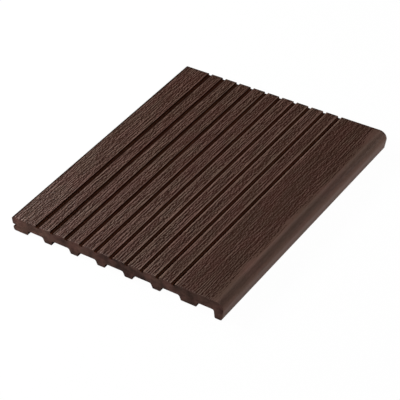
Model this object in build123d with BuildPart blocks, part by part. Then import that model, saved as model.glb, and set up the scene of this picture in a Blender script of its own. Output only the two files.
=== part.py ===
"""Composite stair tread: one solid extrusion, cut to length.

The section is drawn once, across the stair, and extruded along the nosing.
X runs along the nosing and the grooves, +Y points to the rear edge of the tread, and +Z is up.
The origin is on the underside of the middle foot, half-way along the piece.
All sizes are in millimetres and all angles in degrees.
"""

from build123d import *
from math import radians, tan
import os

# The cut piece
length = 407.0
depth = 347.0
thickness = 24.0
web_thickness = 16.0

# Nosing: a round front over a raked face that ends in a hanging lip
nose_radius = 11.0
nose_rake = 13.5
nose_drop = 30.0
lip_reach = 14.8
lip_corner_radius = 1.8

# Narrow feet between the channels of the underside
foot_pitch = 45.3
foot_width = 12.2
foot_draft = 16.0
foot_corner_radius = 1.0
foot_root_radius = 2.5
first_foot_from_rear = 60.4

# Wide feet, one along the rear edge and one behind the channel that takes the riser
rear_foot_width = 24.3
front_foot_width = 24.0
riser_channel_width = 27.7
least_channel_width = 20.0

# Anti-slip grooves in the walking surface
groove_pitch = 25.0
groove_width = 5.5
groove_depth = 3.0
groove_edge_radius = 0.8
groove_floor_radius = 0.6
first_groove_from_rear = 45.6
least_plain_nosing = 70.0

# Rear edge, with a slot for fixing clips
rear_top_radius = 3.8
rear_bottom_radius = 3.1
slot_height = 3.5
slot_depth = 5.5
slot_from_top = 14.4
slot_mouth_radius = 1.8
slot_floor_radius = 1.4

# The grooves and narrow feet that the depth has room for
groove_count = int((depth - first_groove_from_rear - least_plain_nosing) // groove_pitch) + 1
front_foot_from_rear = depth - lip_reach - riser_channel_width - front_foot_width
feet_room = front_foot_from_rear - first_foot_from_rear - foot_width / 2 - least_channel_width
foot_count = int(feet_room // foot_pitch) + 1

# Levels above the feet, and places across the tread from the middle of the narrow feet
top_z = thickness
roof_z = thickness - web_thickness
groove_floor_z = top_z - groove_depth
lip_z = top_z - nose_drop
slot_z = top_z - slot_from_top
rear_y = first_foot_from_rear + foot_pitch * (foot_count - 1) / 2
first_groove_y = rear_y - first_groove_from_rear
nose_y = rear_y - depth
lip_back_y = nose_y + lip_reach
front_foot_y = lip_back_y + riser_channel_width + front_foot_width / 2
foot_lean = roof_z * tan(radians(foot_draft))

tolerance = 0.001


def corners_at_level(level):
    """The section's corners at one level, from the nosing to the rear edge."""
    corners = section.vertices().filter_by_position(Axis.Y, level - tolerance, level + tolerance)
    return corners.sort_by(Axis.X)


def corners_across(place):
    """The section's corners at one place across the tread, from the bottom up."""
    corners = section.vertices().filter_by_position(Axis.X, place - tolerance, place + tolerance)
    return corners.sort_by(Axis.Y)


with BuildPart() as stair_tread:
    with BuildSketch(Plane.YZ) as section:
        # Web, nosing, lip and rear foot in one outline
        with BuildLine():
            nose = CenterArc((nose_y + nose_radius, top_z - nose_radius), nose_radius, 90, 90 + nose_rake)
            chin = nose @ 1
            Polyline(
                chin,
                (chin.X + (chin.Y - lip_z) * tan(radians(nose_rake)), lip_z),
                (lip_back_y, lip_z),
                (lip_back_y, roof_z),
                (rear_y - rear_foot_width - foot_lean, roof_z),
                (rear_y - rear_foot_width, 0),
                (rear_y, 0),
                (rear_y, top_z),
                nose @ 0,
            )
        make_face()

        # Feet that taper downwards
        with GridLocations(foot_pitch, 0, foot_count, 1):
            Trapezoid(foot_width + 2 * foot_lean, roof_z, 90 + foot_draft, align=(Align.CENTER, Align.MIN))
        with Locations((front_foot_y, 0)):
            Trapezoid(front_foot_width + 2 * foot_lean, roof_z, 90 + foot_draft, align=(Align.CENTER, Align.MIN))

        # Rounded roots and corners of the underside, with a fuller round under the rear edge
        fillet(corners_at_level(roof_z), foot_root_radius)
        fillet(corners_at_level(lip_z), lip_corner_radius)
        fillet(corners_at_level(0)[:-1], foot_corner_radius)
        fillet(corners_at_level(0)[-1], rear_bottom_radius)

        # Grooves, with eased edges and floors, between the nosing and the rounded rear edge
        with Locations((first_groove_y, top_z)):
            with Locations(*[(-i * groove_pitch, 0) for i in range(groove_count)]):
                Rectangle(groove_width, groove_depth, align=(Align.CENTER, Align.MAX), mode=Mode.SUBTRACT)
        fillet(corners_at_level(groove_floor_z), groove_floor_radius)
        fillet(corners_at_level(top_z)[1:-1], groove_edge_radius)
        fillet(corners_at_level(top_z)[-1], rear_top_radius)

        # Clip slot in the rear edge, with a rounded mouth
        with Locations((rear_y, slot_z)):
            Rectangle(slot_depth, slot_height, align=(Align.MAX, Align.CENTER), mode=Mode.SUBTRACT)
        fillet(corners_across(rear_y - slot_depth), slot_floor_radius)
        fillet(corners_across(rear_y)[1:-1], slot_mouth_radius)
    extrude(amount=length / 2, both=True)

stair_tread.part.label = "stair_tread"
os.makedirs("parts", exist_ok=True)
export_step(stair_tread.part, "parts/stair_tread.step")
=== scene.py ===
"""Composite stair tread, dressed: a swept board with brushed lands, a smooth nosing and sawn ends.

The section is read from the solid's cut end and swept along the tread as one closed mesh.
X runs along the nosing, +Y points to the rear edge and +Z is up. All lengths are in metres.
"""

from math import ceil, cos, radians, sin

import bpy
import numpy as np
from bpy.props import FloatProperty, FloatVectorProperty, IntProperty, PointerProperty
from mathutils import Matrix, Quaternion, Vector
from mathutils.geometry import delaunay_2d_cdt


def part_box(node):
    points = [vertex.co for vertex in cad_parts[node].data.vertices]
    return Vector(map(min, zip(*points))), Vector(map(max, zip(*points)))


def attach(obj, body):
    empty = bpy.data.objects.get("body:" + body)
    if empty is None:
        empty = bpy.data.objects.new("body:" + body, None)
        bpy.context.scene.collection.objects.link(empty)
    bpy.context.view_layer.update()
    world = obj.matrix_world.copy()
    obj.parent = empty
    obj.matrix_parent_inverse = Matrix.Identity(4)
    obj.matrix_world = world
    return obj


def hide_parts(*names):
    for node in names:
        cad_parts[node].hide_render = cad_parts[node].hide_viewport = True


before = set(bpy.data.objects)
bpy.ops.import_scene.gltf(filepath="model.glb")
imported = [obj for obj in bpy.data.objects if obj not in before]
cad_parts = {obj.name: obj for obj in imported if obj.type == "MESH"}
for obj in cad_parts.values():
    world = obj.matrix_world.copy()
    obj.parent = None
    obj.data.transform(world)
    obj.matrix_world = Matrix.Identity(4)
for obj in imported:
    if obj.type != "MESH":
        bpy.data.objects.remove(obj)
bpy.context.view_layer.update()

bl_info = {
    "name": "Composite stair tread",
    "version": (1, 0, 0),
    "blender": (4, 5, 0),
    "location": "3D View > Sidebar > Tread",
    "description": "Makes a brushed composite stair tread and a plain studio stage for it",
    "category": "Add Mesh",
}

SOLID = "stair_tread"
BODY = "root"

low_corner, high_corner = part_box(SOLID)
nose_y, rear_y = low_corner.y, high_corner.y
top_z = high_corner.z
same_place = 1e-6

# Edge wear and painted highlights on the groove edges: where they start and where they are full, in front of
# the rear edge, on edges that face the front and on edges that face the rear, and their share beside the edges
# on brushed land
front_rise_from, front_rise_to = 0.10, 0.24
rear_facing_from, rear_facing_to = 0.04, 0.12
brushed_rub_and_light = 0.75

# Brushing worn away by the nosing: where that starts and is full, behind the front, and the share that is lost
worn_from, worn_to = 0.14, 0.06
worn_loss = 0.4

# Sanding and polish of the nosing: half the fade of the sanding, then places behind the front and below the top
sanding_fade = 0.007
polish_from, polish_to = 0.013, 0.008
polish_foot, polish_top = 0.006, 0.001

# Painted light on the front of the nosing, fading to painted shade towards the bottom: its reach back, the
# height above the feet where it is full, and shares of it
nosing_depth = 0.02
front_shade_height = 0.010
front_light_share = 0.34
least_front_light = 0.3

# Dust and painted fill light in the grooves, paler on their shaded rear side: depths below the top where it
# starts and is full, and the deepest that a groove goes
dust_fill_from, dust_fill_to = 0.0007, 0.0016
deepest_groove = 0.004

# Highest roughness of the smooth surfaces
sanded_roughness, skin_roughness = 0.46, 0.72

# Variety of the brush strokes
stroke_length_spread = 0.6
stroke_widths = (0.6, 1.4)
stroke_strengths = (0.3, 0.8)
patch_length, patch_width = 0.060, 0.018
least_worked = 0.6

# The lamps' places, and the sides of their squares
lamps = {
    "key": ((-0.32, 0.95, 0.70), 0.4),
    "back": ((0.25, 1.00, 0.70), 0.4),
    "end": ((-0.78, 0.45, 0.52), 0.4),
    "fill": ((-0.30, -0.80, 0.80), 0.6),
    "far": ((0.60, -0.10, 0.75), 0.4),
    "low": ((0.50, -0.60, 0.14), 0.25),
    "near": ((-0.40, 0.22, 0.06), 0.1),
}

# Least distance from the lip to the foot that the tread also rests on, and width of the camera's sensor
least_stance = 0.1
sensor_width_mm = 36.0

# Material slots of the tread's mesh
BRUSHED, SANDED, SKIN, SAWN = range(4)

# Sockets of Blender's colour mix node
MIX_FIRST, MIX_SECOND, MIX_RESULT = 6, 7, 2


class TreadFinish(bpy.types.PropertyGroup):
    """Sizes and colours of the tread's surface."""

    land_step: FloatProperty(
        name="Step across the lands",
        description="Distance between mesh columns on the walking surface",
        default=0.00055, min=0.0003, unit="LENGTH",
    )
    plain_step: FloatProperty(
        name="Step elsewhere",
        description="Longest distance between mesh columns on the other flat faces",
        default=0.004, min=0.001, unit="LENGTH",
    )
    round_turn: FloatProperty(
        name="Turn on small rounds",
        description="Angle between mesh columns on the rounded corners",
        default=radians(21), min=radians(5), subtype="ANGLE",
    )
    row_step: FloatProperty(
        name="Step along the tread",
        description="Distance between mesh rows along the nosing",
        default=0.0041, min=0.002, unit="LENGTH",
    )
    end_ease: FloatProperty(
        name="Eased ends",
        description="Width of the small bevel round the sawn ends",
        default=0.00025, min=0.0001, unit="LENGTH",
    )
    sanded_nosing: FloatProperty(
        name="Sanded nosing",
        description="Depth of the unbrushed strip behind the front of the nosing",
        default=0.0160, min=0.0, unit="LENGTH",
    )
    brush_depth: FloatProperty(
        name="Brushing depth",
        description="Depth of the deepest brush stroke",
        default=0.0003, min=0.0, unit="LENGTH",
    )
    stroke_length: FloatProperty(
        name="Stroke length",
        description="Middle length of the brush strokes",
        default=0.014, min=0.004, unit="LENGTH",
    )
    stroke_width: FloatProperty(
        name="Stroke width",
        description="Middle width of a brush stroke, with the furrow and the burr beside it",
        default=0.0034, min=0.001, unit="LENGTH",
    )
    stroke_count: IntProperty(
        name="Strokes",
        description="Number of brush strokes on the walking surface",
        default=10500, min=0,
    )
    seed: IntProperty(
        name="Seed",
        description="Start of the random draws for the brushing",
        default=7, min=0,
    )
    # Dark unbrushed margins along the groove edges, painted shade that is wider towards the rear.
    unbrushed_shade_margin: FloatProperty(
        name="Brushing margin",
        description="Unbrushed width along the groove edges nearest the rear",
        default=0.0003, min=0.0, unit="LENGTH",
    )
    # Width of the edge wear and painted highlights along the edges.
    rub_and_light_reach: FloatProperty(
        name="Rubbed edges",
        description="Width of the paler rub along the edges",
        default=0.0013, min=0.0002, unit="LENGTH",
    )
    fibre_gloss: FloatProperty(
        name="Fibre gloss",
        description="Weight of the glossy coat on the proudest fibre",
        default=0.5, min=0.0, max=1.0, subtype="FACTOR",
    )
    nose_gloss: FloatProperty(
        name="Nosing gloss",
        description="Weight of the glossy coat on the upper half of the nosing's round",
        default=0.19, min=0.0, max=1.0, subtype="FACTOR",
    )
    plain_gloss: FloatProperty(
        name="Plain gloss",
        description="Strength of the composite's own reflections, with 0.5 for plain plastic",
        default=0.03, min=0.0, max=1.0, subtype="FACTOR",
    )
    skin_colour: FloatVectorProperty(
        name="Skin",
        description="Colour of the composite where it left the die",
        default=(0.0110, 0.0038, 0.0019), min=0.0, max=1.0, subtype="COLOR",
    )
    # Pale dust colour, put on the shaded rear of the grooves as painted fill light.
    dust_fill_colour: FloatVectorProperty(
        name="Dust and fill light",
        description="Colour of the brushing dust in the grooves",
        default=(0.0850, 0.0290, 0.0150), min=0.0, max=1.0, subtype="COLOR",
    )
    board_colour: FloatVectorProperty(
        name="Brushed board",
        description="Colour of the composite where the skin is brushed away",
        default=(0.0316, 0.0121, 0.0077), min=0.0, max=1.0, subtype="COLOR",
    )
    fibre_colour: FloatVectorProperty(
        name="Brushed fibre",
        description="Colour of the wood fibre that brushing lays bare",
        default=(0.122, 0.0710, 0.0542), min=0.0, max=1.0, subtype="COLOR",
    )
    # Pale colour of edge wear, of painted highlights on the groove edges and of painted light on the front of
    # the nosing.
    rubbed_and_lit_colour: FloatVectorProperty(
        name="Rubbed edges",
        description="Colour of the composite where feet have rubbed its edges",
        default=(0.187, 0.1150, 0.0910), min=0.0, max=1.0, subtype="COLOR",
    )
    sanded_colour: FloatVectorProperty(
        name="Sanded nosing",
        description="Colour of the composite where it is sanded smooth",
        default=(0.080, 0.0450, 0.0350), min=0.0, max=1.0, subtype="COLOR",
    )
    sawn_colour: FloatVectorProperty(
        name="Sawn end",
        description="Colour of the composite where it is sawn",
        default=(0.0420, 0.0211, 0.0166), min=0.0, max=1.0, subtype="COLOR",
    )


class TreadStudio(bpy.types.PropertyGroup):
    """Floor, lamps and camera of the studio."""

    floor_size: FloatProperty(
        name="Floor",
        description="Side of the square floor",
        default=120.0, min=2.0, unit="LENGTH",
    )
    floor_colour: FloatVectorProperty(
        name="Floor colour",
        description="Colour of the floor under the lamps",
        default=(0.86, 0.86, 0.86), min=0.0, max=1.0, subtype="COLOR",
    )
    floor_light: FloatProperty(
        name="Floor light",
        description="Share of the floor's own light, from 0 for matt paint to 1 for a light table",
        default=0.98, min=0.0, max=1.0, subtype="FACTOR",
    )
    sky_strength: FloatProperty(
        name="Room light",
        description="Strength of the light from all round, straight overhead",
        default=0.03, min=0.0,
    )
    horizon_strength: FloatProperty(
        name="Room light at the horizon",
        description="Strength of the light from all round, at the height of the tread",
        default=0.01, min=0.0,
    )
    key_lamp: FloatProperty(
        name="Key lamp",
        description="Power of the soft lamp behind the rear edge, towards the near end",
        default=15.2, min=0.0, unit="POWER",
    )
    back_lamp: FloatProperty(
        name="Back lamp",
        description="Power of the soft lamp behind the rear edge, towards the far end",
        default=6.6, min=0.0, unit="POWER",
    )
    end_lamp: FloatProperty(
        name="End lamp",
        description="Power of the soft lamp behind the near end",
        default=4.5, min=0.0, unit="POWER",
    )
    fill_lamp: FloatProperty(
        name="Fill lamp",
        description="Power of the soft lamp above the camera",
        default=2.6, min=0.0, unit="POWER",
    )
    far_lamp: FloatProperty(
        name="Far lamp",
        description="Power of the soft lamp over the far end of the nosing",
        default=1.0, min=0.0, unit="POWER",
    )
    low_lamp: FloatProperty(
        name="Low lamp",
        description="Power of the small lamp close to the floor, by the far end of the nosing",
        default=1.1, min=0.0, unit="POWER",
    )
    near_lamp: FloatProperty(
        name="Near lamp",
        description="Power of the small lamp close to the floor, by the rear of the near end",
        default=0.35, min=0.0, unit="POWER",
    )
    aim: FloatVectorProperty(
        name="Aim",
        description="Point of the tread at the middle of the picture",
        default=(-0.0492, -0.05318, 0.024), subtype="TRANSLATION", unit="LENGTH",
    )
    view_distance: FloatProperty(
        name="View distance",
        description="Distance from the camera to the aim",
        default=2.06279, min=0.1, unit="LENGTH",
    )
    view_azimuth: FloatProperty(
        name="View azimuth",
        description="Turn of the camera round the tread, from straight in front of the nosing",
        default=radians(-50.917), subtype="ANGLE",
    )
    view_elevation: FloatProperty(
        name="View elevation",
        description="Height of the camera above the horizon",
        default=radians(38.955), subtype="ANGLE",
    )
    view_roll: FloatProperty(
        name="View roll",
        description="Turn of the camera about its own line of sight",
        default=radians(-6.144), subtype="ANGLE",
    )
    lens: FloatProperty(
        name="Lens",
        description="Focal length of the camera, in millimetres on a 36 mm sensor",
        default=137.91, min=10.0,
    )


# Section and mesh


def section_outline():
    """The section as (y, z) points in order round the solid, read from the triangles of its cut end."""
    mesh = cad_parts[SOLID].data
    mesh.calc_loop_triangles()
    sides = set()
    for triangle in mesh.loop_triangles:
        corners = [mesh.vertices[i].co for i in triangle.vertices]
        if all(high_corner.x - corner.x < same_place for corner in corners):
            points = [(round(corner.y, 6), round(corner.z, 6)) for corner in corners]
            sides.update(zip(points, points[1:] + points[:1]))
    following = {first: second for first, second in sides if (second, first) not in sides}
    if not following:
        raise RuntimeError("the solid has no flat end to read the section from")
    outline = [max(following)]
    while following[outline[-1]] != outline[0]:
        outline.append(following[outline[-1]])
    return np.array(outline)


def lengths_to_next(outline):
    """Distance from each point of a closed outline to the next."""
    return np.linalg.norm(np.roll(outline, -1, axis=0) - outline, axis=1)


def turns(outline):
    """Angle by which a closed outline turns at each point, above 0 where it is rounded outwards."""
    along = np.roll(outline, -1, axis=0) - outline
    heading = np.arctan2(along[:, 1], along[:, 0])
    return np.angle(np.exp(1j * (heading - np.roll(heading, 1))))


def thinned(outline, least_turn, straight_step=0.0006):
    """The outline with a point for each turn of that angle on its rounds, and the ends of its straights."""
    after = lengths_to_next(outline)
    straight_end = np.maximum(after, np.roll(after, 1)) > straight_step
    kept, turned = [], 0.0
    for point, is_end, turn in zip(outline, straight_end, np.abs(turns(outline))):
        turned += turn
        if is_end or turned >= least_turn:
            kept.append(point)
            turned = 0.0
    return np.array(kept)


def divided(outline, land_step, plain_step):
    """The outline with short steps across the walking surface and long ones on the other flats."""
    columns = []
    for point, following in zip(outline, np.roll(outline, -1, axis=0)):
        on_land = min(point[1], following[1]) > top_z - same_place
        step = land_step if on_land else plain_step
        count = max(1, ceil(np.linalg.norm(following - point) / step - same_place))
        columns.extend(point + (following - point) * i / count for i in range(count))
    return np.array(columns)


def outward_normals(columns):
    """Outward direction of the section at each column."""
    along = np.roll(columns, -1, axis=0) - np.roll(columns, 1, axis=0)
    along /= np.linalg.norm(along, axis=1)[:, None]
    return np.stack([along[:, 1], -along[:, 0]], axis=1)


def smooth_step(values, start, end):
    """0 before start, 1 after end, and a smooth rise between."""
    part = np.clip((values - start) / (end - start), 0.0, 1.0)
    return part * part * (3 - 2 * part)


def towards_front(columns):
    """A share for each column, from 0 by the rear edge to 1 on the front half."""
    return smooth_step(rear_y - columns[:, 0], front_rise_from, front_rise_to)


def worn_smooth(columns):
    """How far the brushing is worn away at each column, from 0 to 1 by the nosing."""
    return smooth_step(columns[:, 0], nose_y + worn_from, nose_y + worn_to)


def land_edges(columns):
    """Which columns are on the lands, and which of those are at a land's edge."""
    on_land = columns[:, 1] > top_z - same_place
    return on_land, on_land & ~(np.roll(on_land, 1) & np.roll(on_land, -1))


def dust_and_fill(columns):
    """How much pale dust colour each column has, which also paints fill light on the shaded rear side of the
    grooves: most by their rear walls, none elsewhere.
    """
    edges = np.sort(columns[land_edges(columns)[1], 0])
    following = np.clip(np.searchsorted(edges, columns[:, 0]), 1, len(edges) - 1)
    front, rear = edges[following - 1], edges[following]
    across = (columns[:, 0] - front) / (rear - front)
    towards_rear = smooth_step(across, 0.5, 0.75)
    depth = top_z - columns[:, 1]
    in_groove = (columns[:, 0] > edges[0]) & (columns[:, 0] < edges[-1]) & (depth < deepest_groove)
    return smooth_step(depth, dust_fill_from, dust_fill_to) * towards_rear * in_groove


def rubbing_and_light(columns, brushed, reach):
    """How much pale colour each column has, from 0 to 1: edge wear and painted highlights beside the groove
    edges, and on them towards the front.

    The edges on the nosing side of the grooves, which face the rear, get the painted highlight further back.
    The front of the nosing gets a little painted light, more above than below, as painted shade towards the
    bottom.
    """
    steps = lengths_to_next(columns)
    place = np.cumsum(steps) - steps
    apart = np.abs(place[:, None] - place[None, :])
    apart = np.minimum(apart, steps.sum() - apart)
    turned = (np.exp(-(apart / reach) ** 2) * turns(columns)[None, :]).sum(axis=1)
    to_rear, upwards = outward_normals(columns).T
    rear_facing_lit = smooth_step(rear_y - columns[:, 0], rear_facing_from, rear_facing_to)
    worn = np.where(to_rear > 0, rear_facing_lit, towards_front(columns))
    worn += brushed_rub_and_light * brushed * (1 - worn)
    # Painted highlights, with edge wear, on the rounded edges that face upwards.
    on_edges = np.clip(turned, 0.0, 1.0) * smooth_step(upwards, 0.3, 0.8) * worn
    # Painted light on the front, fading towards the bottom as painted shade.
    front_lit = least_front_light + (1 - least_front_light) * smooth_step(columns[:, 1], low_corner.z, front_shade_height)
    facing_front = smooth_step(-to_rear, 0.70, 0.97) * (columns[:, 0] < nose_y + nosing_depth)
    return np.maximum(on_edges, front_light_share * front_lit * facing_front)


def brushed_share(columns, finish):
    """How fully each column is brushed: 1 on the lands, with bare margins of dark skin, painted shade that is
    wider towards the rear.
    """
    on_land, at_edge = land_edges(columns)
    flat = np.nonzero(on_land & ~at_edge)[0]
    edges = columns[at_edge, 0]
    margin = finish.unbrushed_shade_margin * (1 - towards_front(columns[flat]))
    share = np.zeros(len(columns))
    to_edge = np.abs(columns[flat, 0][:, None] - edges[None, :]).min(axis=1)
    share[flat] = smooth_step(to_edge, margin, margin + finish.land_step)
    return share


def sanded_share(columns, finish):
    """How fully each column is sanded: 1 on the nosing and 0 behind it."""
    start = nose_y + finish.sanded_nosing
    return 1 - smooth_step(columns[:, 0], start - sanding_fade, start + sanding_fade)


def polish(columns):
    """How far feet have polished each column: 1 on the upper half of the nosing's round, fading round it."""
    across = smooth_step(columns[:, 0], nose_y + polish_from, nose_y + polish_to)
    return across * smooth_step(columns[:, 1], top_z - polish_foot, top_z - polish_top)


def cloud(xs, ys, cell_x, cell_y, random):
    """A smooth random field from 0 to 1 with cells of that size, by x in rows and y in columns."""
    parts = []
    for values, cell in ((xs, cell_x), (ys, cell_y)):
        steps = (values - values.min()) / cell + random.random()
        whole = steps.astype(int)
        parts.append((whole, smooth_step(steps - whole, 0.0, 1.0)))
    (ix, px), (iy, py) = parts
    lattice = random.random((ix.max() + 2, iy.max() + 2))
    near = lattice[ix] * (1 - px)[:, None] + lattice[ix + 1] * px[:, None]
    return near[:, iy] * (1 - py) + near[:, iy + 1] * py


def brush_strokes(xs, ys, finish):
    """Height of the brushing, by x in rows and y in columns: -1 in the deepest cut, 1 on the top fibre."""
    random = np.random.default_rng(finish.seed)
    order = np.argsort(ys)
    across = ys[order]
    patches = cloud(xs, across, patch_length, patch_width, random)
    worked = smooth_step(patches, 0.1, 0.7) * (1 - least_worked) + least_worked
    height = np.zeros((len(xs), len(across)))
    for _ in range(finish.stroke_count):
        x, y = random.uniform(xs[0], xs[-1]), random.uniform(across[0], across[-1])
        half_length = finish.stroke_length / 2 * random.lognormal(0.0, stroke_length_spread)
        half_width = finish.stroke_width / 2 * random.uniform(*stroke_widths)
        strength = random.uniform(*stroke_strengths) * random.choice((-1, 1))
        rows = slice(*np.searchsorted(xs, (x - half_length, x + half_length)))
        columns = slice(*np.searchsorted(across, (y - half_width, y + half_width)))
        lengthwise = 1 - ((xs[rows] - x) / half_length) ** 2
        beside = (across[columns] - y) / half_width
        widthwise = np.sin(np.pi * beside) * (1 - beside ** 2)
        height[rows, columns] += strength * lengthwise[:, None] * widthwise[None, :]
    by_column = np.empty_like(height)
    by_column[:, order] = np.clip(height * worked, -1.0, 1.0)
    return by_column


def board_faces(row_count, ring):
    """Quads between the rows, round the section, and triangles over the two ends, as corner numbers."""
    column_count = len(ring)
    corners = np.arange(row_count * column_count).reshape(row_count, column_count)
    across = np.roll(corners, -1, axis=1)
    quads = np.stack([corners[:-1], across[:-1], across[1:], corners[1:]], axis=2).reshape(-1, 4)
    inside_only = 1
    points = [Vector(point) for point in ring]
    fill = delaunay_2d_cdt(points, [], [list(range(column_count))], inside_only, same_place)[2]
    near_end = [list(reversed(face)) for face in fill]
    far_end = [[corner + corners[-1, 0] for corner in face] for face in fill]
    return quads.tolist(), near_end + far_end


def add_attribute(mesh, name, values):
    """Keeps one number for each point of the mesh, for the materials to read."""
    attribute = mesh.attributes.new(name, "FLOAT", "POINT")
    attribute.data.foreach_set("value", values.astype(np.float32).ravel())


def column_slots(columns, share, finish):
    """Material slot of the strip from each column to the next: brushed, sanded, or plain skin."""
    middles = (columns + np.roll(columns, -1, axis=0)) / 2
    outward = outward_normals(columns)
    on_nosing = middles[:, 0] < nose_y + finish.sanded_nosing
    facing = (outward[:, 0] < 0) | (outward[:, 1] > 0)
    slots = np.where(on_nosing & facing, SANDED, SKIN)
    slots[np.maximum(share, np.roll(share, -1)) > 0] = BRUSHED
    return slots


def row_places(finish):
    """Places of the mesh rows along X, with a row on each side of the two bevels."""
    start, end = low_corner.x + finish.end_ease, high_corner.x - finish.end_ease
    inner_rows = np.linspace(start, end, ceil((end - start) / finish.row_step) + 1)
    return np.concatenate([[low_corner.x], inner_rows, [high_corner.x]])


def make_board_mesh(finish):
    """The tread as one closed mesh: the section swept in rows along X, and brushed on its lands."""
    outline = thinned(section_outline(), finish.round_turn)
    columns = divided(outline, finish.land_step, finish.plain_step)
    brushed, sanded = brushed_share(columns, finish), sanded_share(columns, finish)
    worn = worn_smooth(columns)
    share = brushed * (1 - sanded) * (1 - worn_loss * worn)
    xs = row_places(finish)
    row_count, column_count = len(xs), len(columns)

    brushing = np.zeros((row_count, column_count))
    worked = np.nonzero(share > 0)[0]
    brushing[:, worked] = brush_strokes(xs, columns[worked, 0], finish) * share[worked]
    inset = finish.brush_depth * (share - brushing) / 2
    inset[[0, -1]] += finish.end_ease
    places = np.empty((row_count, column_count, 3))
    places[:, :, 0] = xs[:, None]
    places[:, :, 1:] = columns - inset[:, :, None] * outward_normals(columns)

    sides, ends = board_faces(row_count, places[0, :, 1:])
    mesh = bpy.data.meshes.new("tread")
    mesh.from_pydata(places.reshape(-1, 3), [], sides + ends)
    slots = np.tile(column_slots(columns, share, finish), (row_count - 1, 1))
    slots[[0, -1]] = SAWN
    slots = np.concatenate([slots.ravel(), np.full(len(ends), SAWN)])
    mesh.polygons.foreach_set("material_index", slots.astype(np.int32))
    mesh.polygons.foreach_set("use_smooth", np.arange(len(slots)) < len(sides))

    every_row = np.ones((row_count, 1))
    add_attribute(mesh, "brushing", brushing)
    add_attribute(mesh, "brushed", every_row * brushed)
    add_attribute(mesh, "sanded", every_row * sanded)
    add_attribute(mesh, "worn", every_row * worn)
    add_attribute(mesh, "polished", every_row * polish(columns))
    # Dust colour that also paints fill light on the shaded rear of the grooves.
    add_attribute(mesh, "dusted", every_row * dust_and_fill(columns))
    # Edge wear, painted highlights and painted light on the front of the nosing.
    add_attribute(mesh, "rubbed", every_row * rubbing_and_light(columns, brushed, finish.rub_and_light_reach))
    return mesh


# Materials


def add_node(tree, kind, sockets=None, **settings):
    """A node with its settings, and with its inputs set to values or linked to other nodes' outputs."""
    node = tree.nodes.new(kind)
    for name, value in settings.items():
        setattr(node, name, value)
    for name, value in (sockets or {}).items():
        if isinstance(value, bpy.types.NodeSocket):
            tree.links.new(value, node.inputs[name])
        else:
            node.inputs[name].default_value = value
    return node


def with_alpha(colour):
    """A colour as Blender's colour sockets take it."""
    return (*colour, 1.0)


def maths(tree, operation, first, second):
    """The result of one sum on two values or sockets."""
    return add_node(tree, "ShaderNodeMath", {0: first, 1: second}, operation=operation).outputs["Value"]


def ranged(tree, value, from_low, from_high, to_low, to_high):
    """A value moved from one range to another, and held within it."""
    sockets = {
        "Value": value,
        "From Min": from_low,
        "From Max": from_high,
        "To Min": to_low,
        "To Max": to_high,
    }
    return add_node(tree, "ShaderNodeMapRange", sockets).outputs["Result"]


def blended(tree, share, first, second, blend="MIX"):
    """Two colours mixed by a share."""
    sockets = {"Factor": share, MIX_FIRST: first, MIX_SECOND: second}
    node = add_node(tree, "ShaderNodeMix", sockets, data_type="RGBA", blend_type=blend)
    return node.outputs[MIX_RESULT]


def lined(tree, colour, line, amount):
    """A colour made lighter and darker by lines or clouds from -1 to 1."""
    level = maths(tree, "ADD", maths(tree, "MULTIPLY", line, amount), 1.0)
    lit = add_node(tree, "ShaderNodeVectorMath", {0: colour, "Scale": level}, operation="SCALE")
    return lit.outputs["Vector"]


def ramp(tree, share, stops):
    """A colour from a run of stops, as pairs of place and colour, the first at 0 and the last at 1."""
    node = add_node(tree, "ShaderNodeValToRGB", {"Fac": share})
    marks = node.color_ramp.elements
    marks[0].color = with_alpha(stops[0][1])
    marks[1].color = with_alpha(stops[-1][1])
    for place, colour in stops[1:-1]:
        marks.new(place).color = with_alpha(colour)
    return node.outputs["Color"]


def noise(tree, place, cell, detail=2.0, roughness=0.5):
    """Smooth noise whose cells have that size along X, Y and Z, in metres."""
    scale = [1 / size for size in cell]
    scaled = add_node(tree, "ShaderNodeMapping", {"Vector": place, "Scale": scale}).outputs["Vector"]
    sockets = {"Vector": scaled, "Scale": 1.0, "Detail": detail, "Roughness": roughness}
    return add_node(tree, "ShaderNodeTexNoise", sockets).outputs["Fac"]


def own_place(tree):
    """Place on the tread, in its own frame."""
    return add_node(tree, "ShaderNodeTexCoord").outputs["Object"]


def kept_value(tree, name):
    """The value of one of the mesh's attributes."""
    return add_node(tree, "ShaderNodeAttribute", attribute_name=name).outputs["Fac"]


def new_group(name, inputs, outputs):
    """An empty shader group with named sockets, and its input and output nodes."""
    group = bpy.data.node_groups.new(name, "ShaderNodeTree")
    for label, kind in inputs.items():
        group.interface.new_socket(name=label, in_out="INPUT", socket_type=kind)
    for label, kind in outputs.items():
        group.interface.new_socket(name=label, in_out="OUTPUT", socket_type=kind)
    return group, group.nodes.new("NodeGroupInput"), group.nodes.new("NodeGroupOutput")


def place_group(tree, group, sockets=None):
    """One use of a shader group in a material."""
    return add_node(tree, "ShaderNodeGroup", sockets, node_tree=group).outputs


def pigment_mottle_group():
    """Uneven pigment: soft clouds of lighter and darker colour, some redder and some greyer."""
    inputs = {"Colour": "NodeSocketColor", "Amount": "NodeSocketFloat"}
    group, given, result = new_group("pigment mottle", inputs, {"Colour": "NodeSocketColor"})
    cloud_cell, tint_cell = (0.060, 0.022, 0.022), (0.045, 0.016, 0.016)
    redder, greyer = (1.05, 0.97, 0.98, 1.0), (0.97, 1.02, 0.97, 1.0)
    place = own_place(group)
    turn = ranged(group, noise(group, place, tint_cell, detail=1.0), 0.35, 0.65, 0.0, 1.0)
    tint = blended(group, turn, redder, greyer)
    tinted = blended(group, 1.0, given.outputs["Colour"], tint, "MULTIPLY")
    clouds = ranged(group, noise(group, place, cloud_cell, detail=3.0), 0.3, 0.7, -1.0, 1.0)
    mottled = lined(group, tinted, clouds, given.outputs["Amount"])
    group.links.new(mottled, result.inputs["Colour"])
    return group


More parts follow.
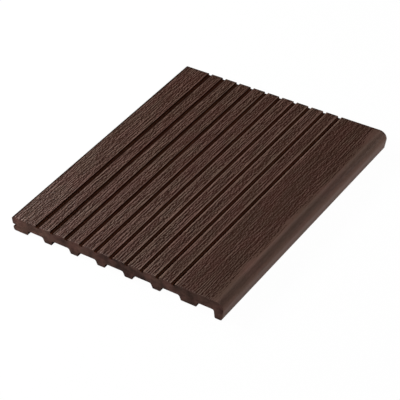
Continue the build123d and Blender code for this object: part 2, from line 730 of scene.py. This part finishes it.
def streak_group():
    """Fine pale and dark streaks in pairs along the tread, from -1 to 1, some long and some short."""
    group, _, result = new_group("lengthwise streaks", {}, {"Streak": "NodeSocketFloat"})
    long_cell, short_cell = (0.036, 0.0016, 0.006), (0.0045, 0.0013, 0.006)
    pair_offset = (0.0, 0.0018, 0.0)
    place = own_place(group)
    beside = add_node(group, "ShaderNodeVectorMath", {0: place, 1: pair_offset}).outputs["Vector"]
    pairs = []
    for cell in (long_cell, short_cell):
        first, second = (noise(group, where, cell, detail=1.5) for where in (place, beside))
        pairs.append(maths(group, "SUBTRACT", first, second))
    streak = ranged(group, maths(group, "ADD", *pairs), -0.36, 0.36, -1.0, 1.0)
    group.links.new(streak, result.inputs["Streak"])
    return group


def rubbed_and_lit_edge_group():
    """Paler edges from wear and painted highlights, with painted light on the front of the nosing, in broken
    lengths.
    """
    inputs = {"Colour": "NodeSocketColor", "Rubbed": "NodeSocketColor", "Amount": "NodeSocketFloat"}
    group, given, result = new_group("rubbed edges", inputs, {"Colour": "NodeSocketColor"})
    break_cell = (0.020, 0.006, 0.006)
    broken = ranged(group, noise(group, own_place(group), break_cell), 0.3, 0.6, 0.7, 1.0)
    worn = maths(group, "MULTIPLY", kept_value(group, "rubbed"), broken)
    share = maths(group, "MULTIPLY", worn, given.outputs["Amount"])
    colour = blended(group, share, given.outputs["Colour"], given.outputs["Rubbed"])
    group.links.new(colour, result.inputs["Colour"])
    return group


def new_material(name):
    """A material with an empty node tree and its output node."""
    material = bpy.data.materials.new(name)
    material.use_nodes = True
    material.node_tree.nodes.clear()
    return material, material.node_tree, material.node_tree.nodes.new("ShaderNodeOutputMaterial")


def finish_surface(
    tree, output, colour, roughness, height, bump_depth, gloss, coat=0.0, coat_roughness=0.5
):
    """The composite's surface: colour, roughness and fine relief, with a plain gloss and any glossy coat."""
    bump = add_node(tree, "ShaderNodeBump", {"Height": height, "Distance": bump_depth, "Strength": 1.0})
    sockets = {
        "Base Color": colour,
        "Roughness": roughness,
        "Normal": bump.outputs["Normal"],
        "Specular IOR Level": gloss,
        "Coat Weight": coat,
        "Coat Roughness": coat_roughness,
    }
    surface = add_node(tree, "ShaderNodeBsdfPrincipled", sockets)
    tree.links.new(surface.outputs["BSDF"], output.inputs["Surface"])


def polished_coat(tree, finish):
    """Weight of the coat where feet have polished the nosing."""
    return maths(tree, "MULTIPLY", kept_value(tree, "polished"), finish.nose_gloss)


def ragged_sanding(tree, streak, patches):
    """How fully the surface is sanded, with a ragged start that follows the streaks and patches."""
    faded = kept_value(tree, "sanded")
    between = maths(tree, "MULTIPLY", faded, maths(tree, "SUBTRACT", 1.0, faded))
    shifted = maths(tree, "MULTIPLY", between, ranged(tree, patches, 0.3, 0.7, -2.4, 2.4))
    by_patches = maths(tree, "ADD", faded, shifted)
    by_streaks = maths(tree, "ADD", by_patches, maths(tree, "MULTIPLY", streak, 0.5))
    return ranged(tree, by_streaks, 0.25, 0.85, 0.0, 1.0)


def brushed_grain(tree, streak, patches, worn):
    """The grain from dark cuts below 0 to pale fibre above it, fainter in patches and where it is worn."""
    relief = maths(tree, "MULTIPLY", kept_value(tree, "brushing"), 0.6)
    grain = maths(tree, "ADD", relief, maths(tree, "MULTIPLY", streak, 0.8))
    grain = maths(tree, "MULTIPLY", grain, ranged(tree, patches, 0.35, 0.62, 0.65, 1.0))
    return maths(tree, "MULTIPLY", grain, ranged(tree, worn, 0.0, 1.0, 1.0, 0.5))


def brushed_material(finish, groups):
    """The walking surface: dull dark cuts and glossy pale fibre, with plain dark skin along its edges, widened
    by painted shade beside the rear grooves.
    """
    material, tree, output = new_material("brushed composite")
    patch_cell = (0.050, 0.018, 0.018)
    board_stop = 0.45
    cut_level = 0.4
    streak = place_group(tree, groups["streaks"])["Streak"]
    patches = noise(tree, own_place(tree), patch_cell)
    brushed, worn = kept_value(tree, "brushed"), kept_value(tree, "worn")
    sanded = ragged_sanding(tree, streak, patches)
    share = maths(tree, "MULTIPLY", brushed, maths(tree, "SUBTRACT", 1.0, sanded))
    grain = brushed_grain(tree, streak, patches, worn)

    cut_colour = [part * cut_level for part in finish.board_colour]
    stops = ((0.0, cut_colour), (board_stop, finish.board_colour), (1.0, finish.fibre_colour))
    middle = ranged(tree, worn, 0.0, 1.0, board_stop, 0.50)
    colour = ramp(tree, maths(tree, "ADD", grain, middle), stops)
    # Dark skin on the edges and on the margins, where it is painted shade.
    colour = blended(tree, brushed, with_alpha(finish.skin_colour), colour)
    # Paler edges from wear and painted highlights.
    rubbed = {"Colour": colour, "Rubbed": with_alpha(finish.rubbed_and_lit_colour), "Amount": 1.0}
    colour = place_group(tree, groups["edges"], rubbed)["Colour"]
    colour = blended(tree, sanded, colour, with_alpha(finish.sanded_colour))
    colour = place_group(tree, groups["mottle"], {"Colour": colour, "Amount": 0.07})["Colour"]

    height = maths(tree, "MULTIPLY", streak, share)
    fibre_coat = maths(tree, "MULTIPLY", ranged(tree, grain, -0.2, 0.5, 0.0, finish.fibre_gloss), share)
    coat = maths(tree, "ADD", fibre_coat, polished_coat(tree, finish))
    finish_surface(
        tree, output, colour, roughness=0.5, height=height, bump_depth=0.00012,
        gloss=finish.plain_gloss, coat=coat,
    )
    return material


def smooth_material(name, own_colour, roughest, finish, groups):
    """Unbrushed composite, with faint lines along the tread, edges paler from wear and painted highlights,
    painted light on the front of the nosing, and pale dust that paints fill light in the shaded grooves.
    """
    material, tree, output = new_material(name)
    streak = place_group(tree, groups["streaks"])["Streak"]
    # Pale dust on the shaded rear of the grooves, partly painted fill light.
    dust_filled = blended(tree, kept_value(tree, "dusted"), with_alpha(own_colour), with_alpha(finish.dust_fill_colour))
    colour = place_group(tree, groups["mottle"], {"Colour": dust_filled, "Amount": 0.12})["Colour"]
    colour = lined(tree, colour, streak, 0.14)
    # Paler edges from wear and painted highlights, and painted light on the front of the nosing.
    rubbed = {"Colour": colour, "Rubbed": with_alpha(finish.rubbed_and_lit_colour), "Amount": 0.9}
    colour = place_group(tree, groups["edges"], rubbed)["Colour"]
    roughness = ranged(tree, streak, -1.0, 1.0, roughest - 0.08, roughest)
    coat = polished_coat(tree, finish)
    gloss = finish.plain_gloss / 2
    finish_surface(
        tree, output, colour, roughness, height=streak, bump_depth=0.00001, gloss=gloss,
        coat=coat, coat_roughness=0.42,
    )
    return material


def sawn_material(finish, groups):
    """The sawn ends: matt, with fine saw lines, and flakes and specks of cut fibre."""
    material, tree, output = new_material("sawn composite")
    flake_cell = (0.005, 0.008, 0.004)
    speck_cell = (0.0009, 0.0012, 0.0009)
    saw_cell = (0.010, 0.0012, 0.030)
    place = own_place(tree)
    sawn = {"Colour": with_alpha(finish.sawn_colour), "Amount": 0.6}
    face = place_group(tree, groups["mottle"], sawn)["Colour"]
    flakes = noise(tree, place, flake_cell, detail=3.0, roughness=0.6)
    face = lined(tree, face, ranged(tree, flakes, 0.35, 0.65, -1.0, 1.0), 0.22)
    specks = ranged(tree, noise(tree, place, speck_cell, detail=1.0), 0.62, 0.74, 0.0, 0.2)
    colour = blended(tree, specks, face, with_alpha(finish.fibre_colour))
    saw_lines = noise(tree, place, saw_cell)
    roughness = ranged(tree, saw_lines, 0.3, 0.7, 0.60, 0.75)
    finish_surface(
        tree, output, colour, roughness, height=saw_lines, bump_depth=0.00012, gloss=finish.plain_gloss
    )
    return material


def make_floor_material(studio):
    """A white floor that gives off light, keeps a faint shadow, and is clear from below."""
    material, tree, output = new_material("pale floor")
    matt = add_node(tree, "ShaderNodeBsdfDiffuse", {"Color": with_alpha(studio.floor_colour)})
    white = add_node(tree, "ShaderNodeEmission", {"Color": (1, 1, 1, 1), "Strength": 1.0})
    clear = add_node(tree, "ShaderNodeBsdfTransparent")
    shares = {"Fac": studio.floor_light, 1: matt.outputs[0], 2: white.outputs[0]}
    above = add_node(tree, "ShaderNodeMixShader", shares)
    behind = add_node(tree, "ShaderNodeNewGeometry").outputs["Backfacing"]
    sides = add_node(tree, "ShaderNodeMixShader", {"Fac": behind, 1: above.outputs[0], 2: clear.outputs[0]})
    tree.links.new(sides.outputs[0], output.inputs["Surface"])
    return material


# Stage


def floor_line():
    """The two points of the section that the tread rests on: under the lip and under the rear foot."""
    outline = section_outline()
    lowest = outline[outline[:, 1] < low_corner.z + same_place]
    lip = lowest[np.argmax(lowest[:, 0])]
    behind = outline[outline[:, 0] > lip[0] + least_stance]
    slopes = (behind[:, 1] - lip[1]) / (behind[:, 0] - lip[0])
    return lip, behind[np.argmin(slopes)]


def make_floor(studio):
    """A square floor under the tread, tilted to touch the lip and the rear foot."""
    front, rear = floor_line()
    along = Vector((0.0, rear[0] - front[0], rear[1] - front[1])).normalized()
    half = studio.floor_size / 2
    middle = Vector((0.0, front[0], front[1]))
    side = Vector((1.0, 0.0, 0.0))
    corners = [middle + side * half * i + along * half * j for i, j in ((-1, -1), (1, -1), (1, 1), (-1, 1))]
    mesh = bpy.data.meshes.new("floor")
    mesh.from_pydata(corners, [], [(0, 1, 2, 3)])
    mesh.materials.append(make_floor_material(studio))
    floor = bpy.data.objects.new("floor", mesh)
    bpy.context.scene.collection.objects.link(floor)


def make_lamp(name, place, target, size, power):
    """A square soft lamp that faces a point."""
    light = bpy.data.lights.new(name, "AREA")
    light.shape = "SQUARE"
    light.size = size
    light.energy = power
    lamp = bpy.data.objects.new(name, light)
    lamp.location = place
    lamp.rotation_mode = "QUATERNION"
    lamp.rotation_quaternion = (Vector(target) - Vector(place)).to_track_quat("-Z", "Y")
    bpy.context.scene.collection.objects.link(lamp)


def make_room_light(studio):
    """Dim light from all round, brighter overhead, and white below the horizon."""
    world = bpy.data.worlds.new("studio")
    world.use_nodes = True
    tree = world.node_tree
    tree.nodes.clear()
    direction = add_node(tree, "ShaderNodeTexCoord").outputs["Generated"]
    height = add_node(tree, "ShaderNodeSeparateXYZ", {"Vector": direction}).outputs["Z"]
    overhead = ranged(tree, height, 0.0, 1.0, studio.horizon_strength, studio.sky_strength)
    strength = maths(tree, "ADD", overhead, maths(tree, "LESS_THAN", height, 0.0))
    sky = add_node(tree, "ShaderNodeBackground", {"Color": (1, 1, 1, 1), "Strength": strength})
    output = tree.nodes.new("ShaderNodeOutputWorld")
    tree.links.new(sky.outputs["Background"], output.inputs["Surface"])
    bpy.context.scene.world = world


def make_camera(studio):
    """The camera at the picture's viewing angle."""
    turn, rise = studio.view_azimuth, studio.view_elevation
    back = Vector((sin(turn) * cos(rise), -cos(turn) * cos(rise), sin(rise)))
    data = bpy.data.cameras.new("camera")
    data.sensor_width = sensor_width_mm
    data.lens = studio.lens
    camera = bpy.data.objects.new("camera", data)
    camera.location = Vector(studio.aim) + back * studio.view_distance
    camera.rotation_mode = "QUATERNION"
    roll = Quaternion((0.0, 0.0, 1.0), studio.view_roll)
    camera.rotation_quaternion = (-back).to_track_quat("-Z", "Y") @ roll
    bpy.context.scene.collection.objects.link(camera)
    bpy.context.scene.camera = camera


# Operators and panel


class STAIRTREAD_OT_make_tread(bpy.types.Operator):
    """Make the tread's mesh and materials in place of the plain solid"""

    bl_idname = "stair_tread.make_tread"
    bl_label = "Make tread"

    def execute(self, context):
        finish = context.scene.tread_finish
        groups = {
            "mottle": pigment_mottle_group(),
            "streaks": streak_group(),
            "edges": rubbed_and_lit_edge_group(),
        }
        mesh = make_board_mesh(finish)
        materials = (
            brushed_material(finish, groups),
            smooth_material("sanded composite", finish.sanded_colour, sanded_roughness, finish, groups),
            smooth_material("composite skin", finish.skin_colour, skin_roughness, finish, groups),
            sawn_material(finish, groups),
        )
        for material in materials:
            mesh.materials.append(material)
        tread = bpy.data.objects.new("tread", mesh)
        context.scene.collection.objects.link(tread)
        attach(tread, BODY)
        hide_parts(SOLID)
        return {"FINISHED"}


class STAIRTREAD_OT_make_stage(bpy.types.Operator):
    """Make the pale floor, the soft lamps and the camera"""

    bl_idname = "stair_tread.make_stage"
    bl_label = "Make stage"

    def execute(self, context):
        studio = context.scene.tread_studio
        make_floor(studio)
        middle = (0.0, 0.0, top_z)
        for name, (place, size) in lamps.items():
            make_lamp(f"{name} lamp", place, middle, size, getattr(studio, f"{name}_lamp"))
        make_room_light(studio)
        make_camera(studio)
        context.scene.view_settings.view_transform = "Standard"
        return {"FINISHED"}


class STAIRTREAD_PT_sidebar(bpy.types.Panel):
    """Lists the tread's finish and stage, with a button to make each"""

    bl_idname = "STAIRTREAD_PT_sidebar"
    bl_label = "Stair tread"
    bl_space_type = "VIEW_3D"
    bl_region_type = "UI"
    bl_category = "Tread"

    def draw(self, context):
        parts = (
            (context.scene.tread_finish, STAIRTREAD_OT_make_tread),
            (context.scene.tread_studio, STAIRTREAD_OT_make_stage),
        )
        for settings, operator in parts:
            box = self.layout.box()
            for name in settings.__annotations__:
                box.prop(settings, name)
            box.operator(operator.bl_idname)


CLASSES = (
    TreadFinish,
    TreadStudio,
    STAIRTREAD_OT_make_tread,
    STAIRTREAD_OT_make_stage,
    STAIRTREAD_PT_sidebar,
)


def register():
    for cls in CLASSES:
        bpy.utils.register_class(cls)
    bpy.types.Scene.tread_finish = PointerProperty(type=TreadFinish)
    bpy.types.Scene.tread_studio = PointerProperty(type=TreadStudio)


def unregister():
    del bpy.types.Scene.tread_studio
    del bpy.types.Scene.tread_finish
    for cls in reversed(CLASSES):
        bpy.utils.unregister_class(cls)


def main():
    register()
    bpy.ops.stair_tread.make_stage()
    bpy.ops.stair_tread.make_tread()


if __name__ == "__main__":
    main()
